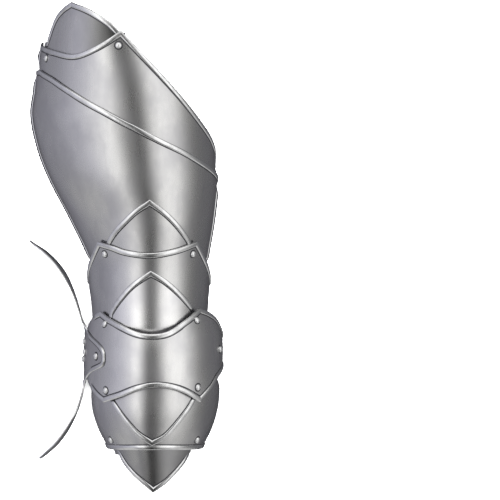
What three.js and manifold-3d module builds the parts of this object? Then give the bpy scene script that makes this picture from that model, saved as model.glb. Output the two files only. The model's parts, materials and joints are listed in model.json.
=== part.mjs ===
// A steel defence for the front of the right thigh and knee, lying on its rear edges.
// Millimetres. +Y runs up the leg towards the hip, +X towards the inside of the leg, and +Z out of the
// front of the plates. The floor is z = 0, where the rear edges of the plates and the fan end.
import * as THREE from 'three';
import { mergeVertices } from 'three/addons/utils/BufferGeometryUtils.js';
import Module from 'manifold-3d';

const wasm = await Module();
wasm.setup();

const WALL = 1.2;            // thickness of the sheet steel
const NEST = 0.8;            // air between one plate and the next
const LEVEL = WALL + NEST;   // how much further out the next plate lies
const RIM_WIDTH = 4.4;       // band along an exposed edge that is raised
const RIM_RISE = 0.9;
const RIM_SHOULDER = 1;      // where the raised band slopes back to the plate
const RIM_FADE = 5;          // degrees over which a rim runs out under its neighbour
const TUCK = 0.28;           // inward slope of a hidden flange, from a little beyond its hinge line
const TUCK_START = 3.2;
const TURN_STEP = 10;        // degrees between the columns of a plate's facets
const ROW_STEP = 20;         // distance along the leg between the rows
const CLOSE_ROW_STEP = 14;   // the same where the leg's shape tapers fast
const LEAST_TURN = 0.8;      // the narrowest column, in degrees
const EDGE_TURN = 90;        // where a full plate ends, at its widest

const RIVET = { head: 3.8, rise: 2.5, shank: 2, tail: 3, tailThickness: 0.8, sides: 8 };
const HOLE = 3;              // radius of a hole that a rivet turns in
const FIXED_HOLE = 2.4;      // and of one that only fastens
const HEAD_GAP = 0.3;        // from the plate to the rivet's head
const TAIL_GAP = 2.6;        // from the innermost plate to the hammered end of a rivet that plates turn on
const FIXED_TAIL_GAP = 0.9;  // the same on a rivet that nothing turns on
const PIN = { radius: 2.5, hole: 2.9, bite: 0.7, tail: 4 };

const STEEL = { color: 0xb4b8be, roughness: 0.36, metalness: 1 };
const BRIGHT_STEEL = { color: 0xd2d5d8, roughness: 0.2, metalness: 1 };

const radians = THREE.MathUtils.degToRad;
const { clamp, lerp, smoothstep } = THREE.MathUtils;

// The shape that each group of plates follows, section by section. A section is half an ellipse: its
// middle, its half-widths to the outer and the inner side of the leg, and its height to the front.
const THIGH_FORM = [
  { along: 384, middle: -47, outer: 69, inner: 88, front: 108 },
  { along: 332, middle: -34, outer: 90, inner: 92, front: 114 },
  { along: 288, middle: -24, outer: 104, inner: 94, front: 116 },
  { along: 261, middle: -20, outer: 111, inner: 92.5, front: 116 },
  { along: 222, middle: -15.5, outer: 107.5, inner: 88.5, front: 112 },
  { along: 189, middle: -11.8, outer: 98.2, inner: 85.3, front: 108 },
  { along: 145, middle: -3, outer: 84, inner: 72, front: 99 },
  { along: 99, middle: -2.2, outer: 63.7, inner: 63.7, front: 89 },
  { along: 68, middle: -2, outer: 60.8, inner: 60.8, front: 85 },
  { along: 41, middle: -1.6, outer: 58.5, inner: 58.5, front: 84 },
  { along: 8, middle: -1, outer: 57.5, inner: 57.5, front: 84 },
];
const KNEE_FORM = [
  { along: 50, middle: -0.8, outer: 65.2, inner: 70.3, front: 91 },
  { along: 33, middle: -1.4, outer: 67.1, inner: 75.4, front: 94 },
  { along: 20, middle: -2, outer: 68, inner: 79, front: 97.5 },
  { along: 0, middle: -2, outer: 69, inner: 80, front: 101 },
  { along: -20, middle: -2, outer: 69, inner: 79.5, front: 100 },
  { along: -40, middle: -2, outer: 69.5, inner: 80.5, front: 96.5 },
  { along: -60, middle: -2, outer: 69, inner: 79.5, front: 93 },
];
const SHIN_FORM = [
  { along: -10, middle: 0, outer: 60.5, inner: 71, front: 84 },
  { along: -30, middle: -0.8, outer: 62.7, inner: 73.8, front: 86 },
  { along: -44, middle: -1.5, outer: 63.5, inner: 75.8, front: 87 },
  { along: -64, middle: -2.2, outer: 61.8, inner: 74.2, front: 85 },
  { along: -86, middle: -2.2, outer: 55, inner: 67.4, front: 79 },
  { along: -104, middle: -1.2, outer: 47, inner: 57.4, front: 73 },
  { along: -130, middle: 1, outer: 42, inner: 46, front: 62 },
  { along: -160, middle: 1.5, outer: 35.5, inner: 36.5, front: 48 },
];

// Edges of the plates as the front shows them: across the leg and along it. A corner is kept sharp.
const TOP_LAME_PEAK = [
  { across: -114, along: 341 }, { across: -105.6, along: 365 }, { across: -98, along: 376 },
  { across: -87, along: 384, corner: true }, { across: -67, along: 375.7 }, { across: -45, along: 362 },
  { across: -32, along: 350 },
];
const THIGH_UPPER_EDGE = [
  { across: -124, along: 341 }, { across: -105.6, along: 331 }, { across: -83.6, along: 326.7 },
  { across: -61.6, along: 334.4 }, { across: -31.9, along: 352, corner: true },
  { across: -1, along: 319 }, { across: 31.9, along: 282.7 }, { across: 53.9, along: 255 },
  { across: 68.2, along: 231 }, { across: 74, along: 206 },
];
const THIGH_MAIN_EDGE = [
  { across: -122, along: 310 }, { across: -105.6, along: 299.2 }, { across: -56, along: 268.4 },
  { across: -23, along: 250.8 }, { across: 9.9, along: 234.3 }, { across: 37.4, along: 221 },
  { across: 57.2, along: 209 }, { across: 76, along: 188 },
];
const THIGH_LEAF_PEAK = [
  { across: -49, along: 113 }, { across: -47.3, along: 123 }, { across: -28.6, along: 146.3 },
  { across: -17.6, along: 156.2 }, { across: -1, along: 167, corner: true }, { across: 17.6, along: 154 },
  { across: 37.4, along: 132 }, { across: 43.5, along: 122 }, { across: 46, along: 113 },
];
const KNEE_UPPER_EDGE = [
  { across: -70, along: 80 }, { across: -62.7, along: 112 }, { across: -58.3, along: 121, corner: true },
  { across: -42.9, along: 116.6 }, { across: -28.6, along: 111.7 }, { across: -1, along: 108.4 },
  { across: 26.4, along: 112.8 }, { across: 50.6, along: 121.6, corner: true },
  { across: 59.4, along: 103.4 }, { across: 66, along: 78 },
];
const KNEE_LEAF_PEAK = [
  { across: -46.5, along: 36 }, { across: -45, along: 44 }, { across: -28.6, along: 67.7 },
  { across: -17.6, along: 78 }, { across: 0, along: 89, corner: true }, { across: 17.6, along: 79.2 },
  { across: 40.7, along: 56.7 }, { across: 48, along: 45 }, { across: 49, along: 37 },
];
const COP_TOP_EDGE = [
  { across: -72, along: 24 }, { across: -61.6, along: 40.7 }, { across: -55, along: 44.5, corner: true },
  { across: -34, along: 30.8 }, { across: -9.9, along: 20.9 }, { across: 15.4, along: 21.5 },
  { across: 37.4, along: 34.7 }, { across: 52.8, along: 48.4, corner: true },
  { across: 64.9, along: 42.9 }, { across: 72.6, along: 35.2 }, { across: 79, along: 20 },
];
const COP_BOTTOM_EDGE = [
  { across: -72.5, along: -20 }, { across: -69.3, along: -34 }, { across: -59.4, along: -48.4 },
  { across: -51.7, along: -55, corner: true }, { across: -34, along: -49 }, { across: -12, along: -40.7 },
  { across: 9.9, along: -38 }, { across: 31.9, along: -42.4 }, { across: 53.9, along: -54.5, corner: true },
  { across: 67, along: -39.6 }, { across: 73, along: -28.6 }, { across: 79, along: -16 },
];
const SHIN_LEAF_POINT = [
  { across: -47, along: -46 }, { across: -43.5, along: -55 }, { across: -26.4, along: -79.2 },
  { across: -15.4, along: -91.3 }, { across: 1.6, along: -102.5, corner: true },
  { across: 18.7, along: -92.4 }, { across: 40.7, along: -66 }, { across: 48, along: -54 },
  { across: 52, along: -45 },
];
const SHIN_BOTTOM_EDGE = [
  { across: -54, along: -105.5 }, { across: -44, along: -107 }, { across: 4, along: -107 },
  { across: 52, along: -107 }, { across: 62, along: -105.5 },
];
const POINT_LAME_TIP = [
  { across: -39, along: -101 }, { across: -36.5, along: -111 }, { across: -23, along: -132 },
  { across: 2.2, along: -155, corner: true }, { across: 20.9, along: -140.8 },
  { across: 43, along: -113 }, { across: 46.5, along: -101 },
];

// Hidden edges, under the next plate: how far round the leg, in degrees, and along it.
const TOP_LAME_BASE = [{ turn: -74, along: 314 }, { turn: 7, along: 328 }];
const THIGH_MAIN_BASE = [
  { turn: -90, along: 72 }, { turn: -52, along: 95 }, { turn: 0, along: 92 },
  { turn: 52, along: 95 }, { turn: 90, along: 66 },
];
const THIGH_LEAF_BASE = [{ turn: -48, along: 98 }, { turn: 0, along: 93 }, { turn: 48, along: 98 }];
const KNEE_UPPER_BASE = [
  { turn: -90, along: 19 }, { turn: -50, along: 20 }, { turn: 0, along: 8 },
  { turn: 50, along: 23 }, { turn: 90, along: 16 },
];
const KNEE_LEAF_BASE = [{ turn: -53, along: 21 }, { turn: 0, along: 9 }, { turn: 53, along: 24 }];
const SHIN_LEAF_HEAD = [{ turn: -50, along: -30 }, { turn: 0, along: -22 }, { turn: 50, along: -28 }];
const SHIN_MAIN_HEAD = [
  { turn: -90, along: -16 }, { turn: -50, along: -29 }, { turn: 0, along: -21 },
  { turn: 50, along: -27 }, { turn: 90, along: -12 },
];
const POINT_LAME_HEAD = [{ turn: -64, along: -86 }, { turn: 0, along: -84 }, { turn: 64, along: -86 }];

// Rivets that a pair of plates turns on, one on each side: where the front shows them.
const HINGE_RIVETS = {
  top: { outer: { across: -115, along: 323 }, inner: { across: -35, along: 336 } },
  thigh: { outer: { across: -50.6, along: 107.8 }, inner: { across: 46.2, along: 107.8 } },
  knee: { outer: { across: -50.6, along: 31 }, inner: { across: 50.6, along: 35 } },
  shin: { outer: { across: -49.5, along: -42 }, inner: { across: 51.7, along: -38.5 } },
  point: { outer: { across: -44, along: -96.8 }, inner: { across: 50.6, along: -96.8 } },
};

// The fan on the outer side of the knee. Its waist and tab lie on the knee cop, and its two lobes bend
// away from the leg. A row is a line across it: where it stands, and its rear and front edges in z.
const FAN_UPPER_LOBE = [
  { across: -74.8, along: 29, rear: 0, front: 22 },
  { across: -76.2, along: 40, rear: 0, front: 34 },
  { across: -80, along: 56, rear: 1, front: 52 },
  { across: -86.5, along: 70, rear: 4, front: 61 },
  { across: -94.5, along: 84, rear: 8, front: 64 },
  { across: -104.5, along: 98, rear: 13, front: 62 },
  { across: -116, along: 110, rear: 19, front: 56 },
  { across: -127, along: 118.5, rear: 26, front: 48 },
  { across: -132, along: 122.5, rear: 32, front: 42 },
];
const FAN_LOWER_LOBE = [
  { across: -72.6, along: -28, rear: 0, front: 20 },
  { across: -73.6, along: -41, rear: 0, front: 32 },
  { across: -77.2, along: -55, rear: 1, front: 48 },
  { across: -82.5, along: -68, rear: 4, front: 57 },
  { across: -89, along: -80, rear: 8, front: 59 },
  { across: -97, along: -92, rear: 13, front: 57 },
  { across: -106, along: -103, rear: 18, front: 51 },
  { across: -115.5, along: -111.5, rear: 24, front: 44 },
  { across: -122, along: -117, rear: 30, front: 38 },
];
const FAN_TAB = [
  { turn: -77, along: 27 }, { turn: -64, along: 18 }, { turn: -52, along: 11 }, { turn: -45, along: 4 },
  { turn: -42.5, along: -4 }, { turn: -44, along: -14 }, { turn: -51, along: -18.5 },
  { turn: -66, along: -22.5 }, { turn: -77, along: -26 },
];
const FAN_OUT = LEVEL + WALL + 0.7;
const FAN_RIVETS = [
  { name: 'fan_rivet_upper', turn: -82, along: 11 },
  { name: 'fan_rivet_middle', turn: -77, along: 0 },
  { name: 'fan_rivet_lower', turn: -84, along: -8 },
  { name: 'fan_tab_rivet', turn: -53, along: -4.5 },
];
// The lame above the knee spreads a little at its outer shoulder, to clear the thigh plate's flank.
const SHOULDER_FLARE = { rise: 1.8, turns: [55, 75], rows: [55, 95] };
const STRAP_RIVET = { turn: 73, along: 3 };
const HIDDEN_PINS = [{ turn: -62, drop: 8 }, { turn: -8, drop: 8 }, { turn: 55, drop: 8 }];

// A smooth curve through rows of values, broken at a row that is marked as a corner.
function smooth(rows, key, value, at) {
  const last = rows.length - 1;
  const rising = rows[last][key] > rows[0][key];
  const ordered = rising ? rows : [...rows].reverse();
  const spot = clamp(at, ordered[0][key], ordered[last][key]);
  let index = 0;
  while (index < last - 1 && spot > ordered[index + 1][key]) index += 1;
  const rate = (from, to) => (ordered[to][value] - ordered[from][value])
    / (ordered[to][key] - ordered[from][key]);
  const slope = (row, own) => (row === 0 || row === last || ordered[row].corner
    ? own : rate(row - 1, row + 1));
  const [start, end] = [ordered[index], ordered[index + 1]];
  const span = end[key] - start[key];
  const own = rate(index, index + 1);
  const s = (spot - start[key]) / span;
  return start[value] * (1 + 2 * s) * (1 - s) ** 2 + slope(index, own) * span * s * (1 - s) ** 2
    + end[value] * s ** 2 * (3 - 2 * s) - slope(index + 1, own) * span * s ** 2 * (1 - s);
}

// The half ellipse of a form at one distance along the leg, grown outwards.
function sectionAt(form, along, out) {
  const read = (value) => smooth(form, 'along', value, along);
  return {
    middle: read('middle'),
    outer: read('outer') + out,
    inner: read('inner') + out,
    front: read('front') + out,
  };
}

function pointOn(form, turn, along, out) {
  const section = sectionAt(form, along, out);
  const half = turn < 0 ? section.outer : section.inner;
  return new THREE.Vector3(
    section.middle + half * Math.sin(radians(turn)),
    along,
    section.front * Math.cos(radians(clamp(turn, -EDGE_TURN, EDGE_TURN))),
  );
}

function normalOn(form, turn, along, out) {
  const small = 0.5;
  const around = pointOn(form, turn + small, along, out).sub(pointOn(form, turn - small, along, out));
  const up = pointOn(form, turn, along + small, out).sub(pointOn(form, turn, along - small, out));
  return around.cross(up).normalize();
}

// How far round the leg a point seen from the front lies, in degrees.
function turnAt(form, across, along, out) {
  const section = sectionAt(form, along, out);
  const offset = across - section.middle;
  const half = offset < 0 ? section.outer : section.inner;
  return THREE.MathUtils.radToDeg(Math.asin(clamp(offset / half, -1, 1)));
}

// An edge seen from the front becomes a function of the turn round the leg.
function frontEdge(form, points, out) {
  const rows = points.map((point) => ({ ...point, turn: turnAt(form, point.across, point.along, out) }));
  return Object.assign((turn) => smooth(rows, 'turn', 'along', turn), { rows });
}

function hiddenEdge(rows) {
  return Object.assign((turn) => smooth(rows, 'turn', 'along', turn), { rows });
}

// Distance from a point inwards, against the normal, to a surface of a form.
function depthTo(form, out, point, normal) {
  let near = -WALL;
  let far = 6 * LEVEL;
  const outside = (depth) => {
    const spot = point.clone().addScaledVector(normal, -depth);
    const section = sectionAt(form, spot.y, out);
    const half = spot.x < section.middle ? section.outer : section.inner;
    return ((spot.x - section.middle) / half) ** 2 + (spot.z / section.front) ** 2 > 1;
  };
  for (let round = 0; round < 40; round += 1) {
    const depth = (near + far) / 2;
    if (outside(depth)) near = depth;
    else far = depth;
  }
  return (near + far) / 2;
}

function geometryOf(positions, triangles) {
  const geometry = new THREE.BufferGeometry();
  geometry.setAttribute('position', new THREE.Float32BufferAttribute(positions, 3));
  geometry.setIndex(triangles);
  return geometry;
}

function solidOf(geometry) {
  const bare = geometry.clone();
  bare.deleteAttribute('normal');
  bare.deleteAttribute('uv');
  const merged = mergeVertices(bare, 1e-4);
  const index = Array.from(merged.index.array);
  const kept = [];
  for (let corner = 0; corner < index.length; corner += 3) {
    const [a, b, c] = index.slice(corner, corner + 3);
    if (a !== b && b !== c && c !== a) kept.push(a, b, c);
  }
  return new wasm.Manifold(new wasm.Mesh({
    numProp: 3,
    vertProperties: new Float32Array(merged.attributes.position.array),
    triVerts: new Uint32Array(kept),
  }));
}

function geometryFrom(solid) {
  const mesh = solid.getMesh();
  return geometryOf(Array.from(mesh.vertProperties), Array.from(mesh.triVerts));
}

// A closed sheet from two grids of points: columns go round the leg and rows go up it.
function sheet(columns, rows, outerPoint, innerPoint) {
  const positions = [];
  const triangles = [];
  const stride = rows + 1;
  const layer = (columns + 1) * stride;
  for (const place of [outerPoint, innerPoint]) {
    for (let i = 0; i <= columns; i += 1) {
      for (let j = 0; j <= rows; j += 1) positions.push(...place(i, j).toArray());
    }
  }
  const outer = (i, j) => i * stride + j;
  const inner = (i, j) => layer + outer(i, j);
  const quad = (a, b, c, d) => triangles.push(a, b, c, a, c, d);
  for (let i = 0; i < columns; i += 1) {
    for (let j = 0; j < rows; j += 1) {
      quad(outer(i, j), outer(i + 1, j), outer(i + 1, j + 1), outer(i, j + 1));
      quad(inner(i, j), inner(i, j + 1), inner(i + 1, j + 1), inner(i + 1, j));
    }
    quad(outer(i, 0), inner(i, 0), inner(i + 1, 0), outer(i + 1, 0));
    quad(outer(i, rows), outer(i + 1, rows), inner(i + 1, rows), inner(i, rows));
  }
  for (let j = 0; j < rows; j += 1) {
    quad(outer(0, j), outer(0, j + 1), inner(0, j + 1), inner(0, j));
    quad(outer(columns, j), inner(columns, j), inner(columns, j + 1), outer(columns, j + 1));
  }
  return geometryOf(positions, triangles);
}

// Columns at even turns, with one more at each corner of the plate's edges.
function columnTurns(from, to, edges) {
  const turns = [from, to];
  for (let turn = Math.ceil(from / TURN_STEP) * TURN_STEP; turn < to; turn += TURN_STEP) turns.push(turn);
  for (const edge of edges) {
    for (const row of edge.rows) if (row.corner) turns.push(row.turn);
  }
  turns.sort((a, b) => a - b);
  return turns.filter((turn, i) => i === 0 || turn - turns[i - 1] > LEAST_TURN);
}

// How high the rim stands at a distance from the edge.
function rimRise(distance) {
  return RIM_RISE * clamp((RIM_WIDTH - distance) / RIM_SHOULDER, 0, 1);
}

// How far a hidden flange leans inwards at a distance beyond its hinge's line. An early one starts to
// lean before the line along the ridge, where a tapering plate would otherwise jam.
function flangeTuck(hinge, turn, across, along) {
  const { outer, inner } = hinges[hinge.name];
  const share = (across - outer.pivot.x) / (inner.pivot.x - outer.pivot.x);
  const line = lerp(outer.pivot.y, inner.pivot.y, clamp(share, 0, 1));
  const start = TUCK_START - (hinge.early ?? 0) * Math.cos(radians(turn)) ** 2;
  return (hinge.slope ?? TUCK) * Math.max(0, (along - line) * hinge.side - start);
}

// A plate on a form. Its rims stand where the front shows them, and a hidden flange leans inwards
// beyond the line of its hinge, so that the plate above it can turn.
function plate({ form, level, from, to, top, bottom, topRim, bottomRim, hinge, rowStep = ROW_STEP, sink = 0,
  flare, holes }) {
  const out = level * LEVEL - sink;
  const turns = columnTurns(from, to, [top, bottom]);
  const heights = turns.map((turn) => top(turn) - bottom(turn));
  const count = Math.max(2, Math.round(Math.max(...heights) / rowStep));
  const bands = [0, RIM_WIDTH - RIM_SHOULDER, RIM_WIDTH];
  const rowPlaces = (turn) => {
    const [low, high] = [bottom(turn), top(turn)];
    const start = bottomRim ? bands.map((step) => low + step) : [low];
    const end = topRim ? bands.map((step) => high - step).reverse() : [high];
    const [first, last] = [start.at(-1), end[0]];
    const between = Array.from({ length: count - 1 }, (_, k) => first + ((last - first) * (k + 1)) / count);
    return [...start, ...between, ...end];
  };
  const places = turns.map(rowPlaces);
  const spread = (turn, along) => (flare
    ? flare.rise * smoothstep(-turn, ...flare.turns) * smoothstep(along, ...flare.rows) : 0);
  const strength = (rim, turn) => clamp(Math.min(turn - rim.from, rim.to - turn) / RIM_FADE + 1, 0, 1);
  const lift = (turn, along) => {
    const upper = topRim ? rimRise(top(turn) - along) * strength(topRim, turn) : 0;
    const lower = bottomRim ? rimRise(along - bottom(turn)) * strength(bottomRim, turn) : 0;
    return Math.max(upper, lower);
  };
  const tuck = (turn, along) => (hinge
    ? flangeTuck(hinge, turn, pointOn(form, turn, along, out).x, along) : 0);
  const place = (grow) => (i, j) => {
    const [turn, along] = [turns[i], places[i][j]];
    return pointOn(form, turn, along, out + grow(turn, along) + spread(turn, along) - tuck(turn, along));
  };
  const outerFace = place((turn, along) => WALL + lift(turn, along));
  const body = sheet(turns.length - 1, places[0].length - 1, outerFace, place(() => 0));
  return holes.reduce((solid, hole) => solid.subtract(hole), solidOf(body));
}

// A turned body along a normal: its profile is measured outwards from the plate's outer face.
function turned(profile, sides, place) {
  const outline = profile.map(([radius, height]) => new THREE.Vector2(radius, height));
  const geometry = new THREE.LatheGeometry(outline, sides);
  const rotation = new THREE.Quaternion().setFromUnitVectors(new THREE.Vector3(0, 1, 0), place.normal);
  geometry.applyQuaternion(rotation);
  geometry.translate(place.point.x, place.point.y, place.point.z);
  return solidOf(geometry);
}

function rod(radius, inside, outside, place) {
  return turned([[0, -inside], [radius, -inside], [radius, outside], [0, outside]], RIVET.sides, place);
}

// A round-headed rivet through a stack of plates, with its hammered end inside.
function rivet(place, depth, tailGap) {
  const { head, rise, shank, tail, tailThickness, sides } = RIVET;
  const under = depth + tailGap;
  return turned([
    [0, -under - tailThickness], [tail * 0.8, -under - tailThickness], [tail, -under], [shank, -under],
    [shank, HEAD_GAP], [head, HEAD_GAP], [head * 0.85, rise * 0.65], [0, rise],
  ], sides, place);
}

function placeOn(form, turn, along, out) {
  return { point: pointOn(form, turn, along, out), normal: normalOn(form, turn, along, out) };
}

function placeAt(form, spot, out) {
  return placeOn(form, turnAt(form, spot.across, spot.along, out), spot.along, out);
}

// The stack of plates at each hinge: the form and level of its outermost, turning and innermost plate.
const STACKS = {
  top: { skin: [THIGH_FORM, -1], pivot: [THIGH_FORM, -2, WALL], base: [THIGH_FORM, -2] },
  thigh: { skin: [THIGH_FORM, 2], pivot: [THIGH_FORM, 1, WALL / 2], base: [THIGH_FORM, 0] },
  knee: { skin: [KNEE_FORM, 0], pivot: [THIGH_FORM, 3, WALL / 2], base: [THIGH_FORM, 2] },
  shin: { skin: [KNEE_FORM, 0], pivot: [SHIN_FORM, 1, WALL / 2], base: [SHIN_FORM, 0] },
  point: { skin: [SHIN_FORM, 0], pivot: [SHIN_FORM, -1, WALL], base: [SHIN_FORM, -1] },
};

function hingeRivet(name, side) {
  const { skin, pivot, base } = STACKS[name];
  const place = placeAt(skin[0], HINGE_RIVETS[name][side], skin[1] * LEVEL + WALL);
  const depth = depthTo(base[0], base[1] * LEVEL, place.point, place.normal);
  const pivotDepth = depthTo(pivot[0], pivot[1] * LEVEL + pivot[2], place.point, place.normal);
  return {
    solid: rivet(place, depth, TAIL_GAP),
    hole: rod(HOLE, depth + LEVEL, RIVET.rise, place),
    pivot: place.point.clone().addScaledVector(place.normal, -pivotDepth),
  };
}

const hinges = {};
for (const name of Object.keys(HINGE_RIVETS)) {
  hinges[name] = { outer: hingeRivet(name, 'outer'), inner: hingeRivet(name, 'inner') };
}
const holesOf = (...names) => names.flatMap((name) => [hinges[name].outer.hole, hinges[name].inner.hole]);

const edges = {
  thighUpper: frontEdge(THIGH_FORM, THIGH_UPPER_EDGE, WALL - LEVEL),
  thighMain: frontEdge(THIGH_FORM, THIGH_MAIN_EDGE, WALL),
};
const underThighMain = Object.assign((turn) => edges.thighMain(turn) - 17, { rows: [] });

// Plain pins that hold the upper thigh plate under the main one, out of sight.
const pinPlaces = HIDDEN_PINS.map(({ turn, drop }) => {
  const along = edges.thighMain(turn) - drop;
  return placeOn(THIGH_FORM, turn, along, WALL - LEVEL);
});
const pinHoles = pinPlaces.map((place) => rod(PIN.hole, 2 * WALL, NEST + PIN.bite, place));

function hiddenPin(place) {
  const { radius, bite, tail } = PIN;
  const inside = WALL + FIXED_TAIL_GAP;
  return turned([
    [0, -inside - WALL], [tail, -inside - WALL], [tail, -inside], [radius, -inside],
    [radius, NEST + bite - HEAD_GAP], [0, NEST + bite - HEAD_GAP],
  ], RIVET.sides, place);
}

// The fan is one sheet: a row of points for each line across it, from its rear edge to its front edge.
function fanRows() {
  const lobe = (rows, count) => Array.from({ length: count }, (_, k) => {
    const share = Math.sin((k / (count - 1)) * Math.PI / 2);
    const along = lerp(rows[0].along, rows.at(-1).along, share);
    const read = (value) => smooth(rows, 'along', value, along);
    return { along, across: read('across'), rear: read('rear'), front: read('front') };
  });
  const waist = FAN_TAB.map(({ turn, along }) => ({ turn, along }));
  return [...lobe(FAN_LOWER_LOBE, 9).reverse(), ...waist.reverse(), ...lobe(FAN_UPPER_LOBE, 9)];
}

function fanPlate(holes) {
  const rows = fanRows();
  const columns = 6;
  const centre = (row, share) => {
    if (row.turn === undefined) {
      return new THREE.Vector3(row.across, row.along, lerp(row.rear, row.front, share));
    }
    return pointOn(KNEE_FORM, lerp(-EDGE_TURN, row.turn, share), row.along, FAN_OUT - WALL / 2);
  };
  const grid = rows.map((row) => Array.from({ length: columns + 1 }, (_, i) => centre(row, i / columns)));
  const outward = (i, j) => {
    const [low, high] = [grid[Math.max(j - 1, 0)][i], grid[Math.min(j + 1, rows.length - 1)][i]];
    const [left, right] = [grid[j][Math.max(i - 1, 0)], grid[j][Math.min(i + 1, columns)]];
    const normal = right.clone().sub(left).cross(high.clone().sub(low)).normalize();
    return i === 0 ? normal.setZ(0).normalize() : normal;
  };
  const face = (shift) => (i, j) => grid[j][i].clone().addScaledVector(outward(i, j), shift);
  const body = sheet(columns, rows.length - 1, face(WALL / 2), face(-WALL / 2));
  return holes.reduce((solid, hole) => solid.subtract(hole), solidOf(body));
}

const fanRivets = FAN_RIVETS.map(({ name, turn, along }) => {
  const place = placeOn(KNEE_FORM, turn, along, FAN_OUT);
  const depth = depthTo(KNEE_FORM, 0, place.point, place.normal);
  const solid = rivet(place, depth, FIXED_TAIL_GAP);
  return { name, solid, hole: rod(FIXED_HOLE, depth + LEVEL, RIVET.rise, place) };
});
const strapPlace = placeOn(KNEE_FORM, STRAP_RIVET.turn, STRAP_RIVET.along, WALL);
const strapHole = rod(FIXED_HOLE, LEVEL + WALL, RIVET.rise, strapPlace);

const plates = {
  top_lame: plate({
    form: THIGH_FORM, level: -2, from: -74, to: 7,
    top: frontEdge(THIGH_FORM, TOP_LAME_PEAK, WALL - 2 * LEVEL), bottom: hiddenEdge(TOP_LAME_BASE),
    topRim: { from: -64, to: -4 }, hinge: { name: 'top', side: -1 }, holes: holesOf('top'),
  }),
  thigh_upper_plate: plate({
    form: THIGH_FORM, level: -1, from: -EDGE_TURN, to: EDGE_TURN,
    top: edges.thighUpper, bottom: underThighMain,
    topRim: { from: -90, to: 90 }, holes: [...holesOf('top'), ...pinHoles],
  }),
  thigh_main_plate: plate({
    form: THIGH_FORM, level: 0, from: -EDGE_TURN, to: EDGE_TURN,
    top: edges.thighMain, bottom: hiddenEdge(THIGH_MAIN_BASE),
    topRim: { from: -90, to: 90 }, hinge: { name: 'thigh', side: -1 },
    holes: [...holesOf('thigh'), ...pinHoles],
  }),
  thigh_leaf_lame: plate({
    form: THIGH_FORM, level: 1, from: -48, to: 48,
    top: frontEdge(THIGH_FORM, THIGH_LEAF_PEAK, WALL + LEVEL), bottom: hiddenEdge(THIGH_LEAF_BASE),
    topRim: { from: -33, to: 33 }, hinge: { name: 'thigh', side: -1 }, holes: holesOf('thigh'),
  }),
  knee_upper_lame: plate({
    form: THIGH_FORM, level: 2, from: -EDGE_TURN, to: EDGE_TURN,
    top: frontEdge(THIGH_FORM, KNEE_UPPER_EDGE, WALL + 2 * LEVEL), bottom: hiddenEdge(KNEE_UPPER_BASE),
    topRim: { from: -90, to: 90 }, hinge: { name: 'knee', side: -1 }, flare: SHOULDER_FLARE,
    holes: holesOf('thigh', 'knee'),
  }),
  knee_leaf_lame: plate({
    form: THIGH_FORM, level: 3, from: -53, to: 53,
    top: frontEdge(THIGH_FORM, KNEE_LEAF_PEAK, WALL + 3 * LEVEL), bottom: hiddenEdge(KNEE_LEAF_BASE),
    topRim: { from: -38, to: 38 }, hinge: { name: 'knee', side: -1 }, holes: holesOf('knee'),
  }),
  knee_cop: plate({
    form: KNEE_FORM, level: 0, from: -EDGE_TURN, to: EDGE_TURN,
    top: frontEdge(KNEE_FORM, COP_TOP_EDGE, WALL), bottom: frontEdge(KNEE_FORM, COP_BOTTOM_EDGE, WALL),
    topRim: { from: -62, to: 90 }, bottomRim: { from: -62, to: 90 },
    holes: [...holesOf('knee', 'shin'), ...fanRivets.map((one) => one.hole), strapHole],
  }),
  shin_leaf_lame: plate({
    form: SHIN_FORM, level: 1, rowStep: CLOSE_ROW_STEP, from: -50, to: 50,
    top: hiddenEdge(SHIN_LEAF_HEAD), bottom: frontEdge(SHIN_FORM, SHIN_LEAF_POINT, WALL + LEVEL),
    bottomRim: { from: -34, to: 34 }, hinge: { name: 'shin', side: 1 }, holes: holesOf('shin'),
  }),
  shin_main_lame: plate({
    form: SHIN_FORM, level: 0, rowStep: CLOSE_ROW_STEP, from: -EDGE_TURN, to: EDGE_TURN,
    top: hiddenEdge(SHIN_MAIN_HEAD), bottom: frontEdge(SHIN_FORM, SHIN_BOTTOM_EDGE, WALL),
    bottomRim: { from: -90, to: 90 }, hinge: { name: 'shin', side: 1 },
    holes: holesOf('shin', 'point'),
  }),
  shin_point_lame: plate({
    form: SHIN_FORM, level: -1, sink: 0.6, rowStep: CLOSE_ROW_STEP, from: -64, to: 64,
    top: hiddenEdge(POINT_LAME_HEAD), bottom: frontEdge(SHIN_FORM, POINT_LAME_TIP, WALL - LEVEL),
    bottomRim: { from: -50, to: 50 }, hinge: { name: 'point', side: 1, slope: 0.5, early: 7 },
    holes: holesOf('point'),
  }),
  fan_plate: fanPlate(fanRivets.map((one) => one.hole)),
};

const assembly = new THREE.Group();
assembly.name = 'thigh_and_knee_defence';

function add(name, solid, finish) {
  const mesh = new THREE.Mesh(geometryFrom(solid), new THREE.MeshStandardMaterial(finish));
  mesh.name = name;
  assembly.add(mesh);
}

for (const [name, solid] of Object.entries(plates)) add(name, solid, STEEL);
for (const [name, { outer, inner }] of Object.entries(hinges)) {
  add(`${name}_hinge_rivet_outer`, outer.solid, BRIGHT_STEEL);
  add(`${name}_hinge_rivet_inner`, inner.solid, BRIGHT_STEEL);
}
for (const { name, solid } of fanRivets) add(name, solid, BRIGHT_STEEL);
add('strap_rivet', rivet(strapPlace, WALL, FIXED_TAIL_GAP), BRIGHT_STEEL);
pinPlaces.forEach((place, k) => add(`hidden_pin_${k + 1}`, hiddenPin(place), STEEL));

// The line that each pair of plates turns on, from its outer rivet to its inner one.
assembly.userData.hingeLines = Object.fromEntries(Object.entries(hinges).map(([name, { outer, inner }]) => [
  name, { outer: outer.pivot.toArray(), inner: inner.pivot.toArray() },
]));

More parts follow.
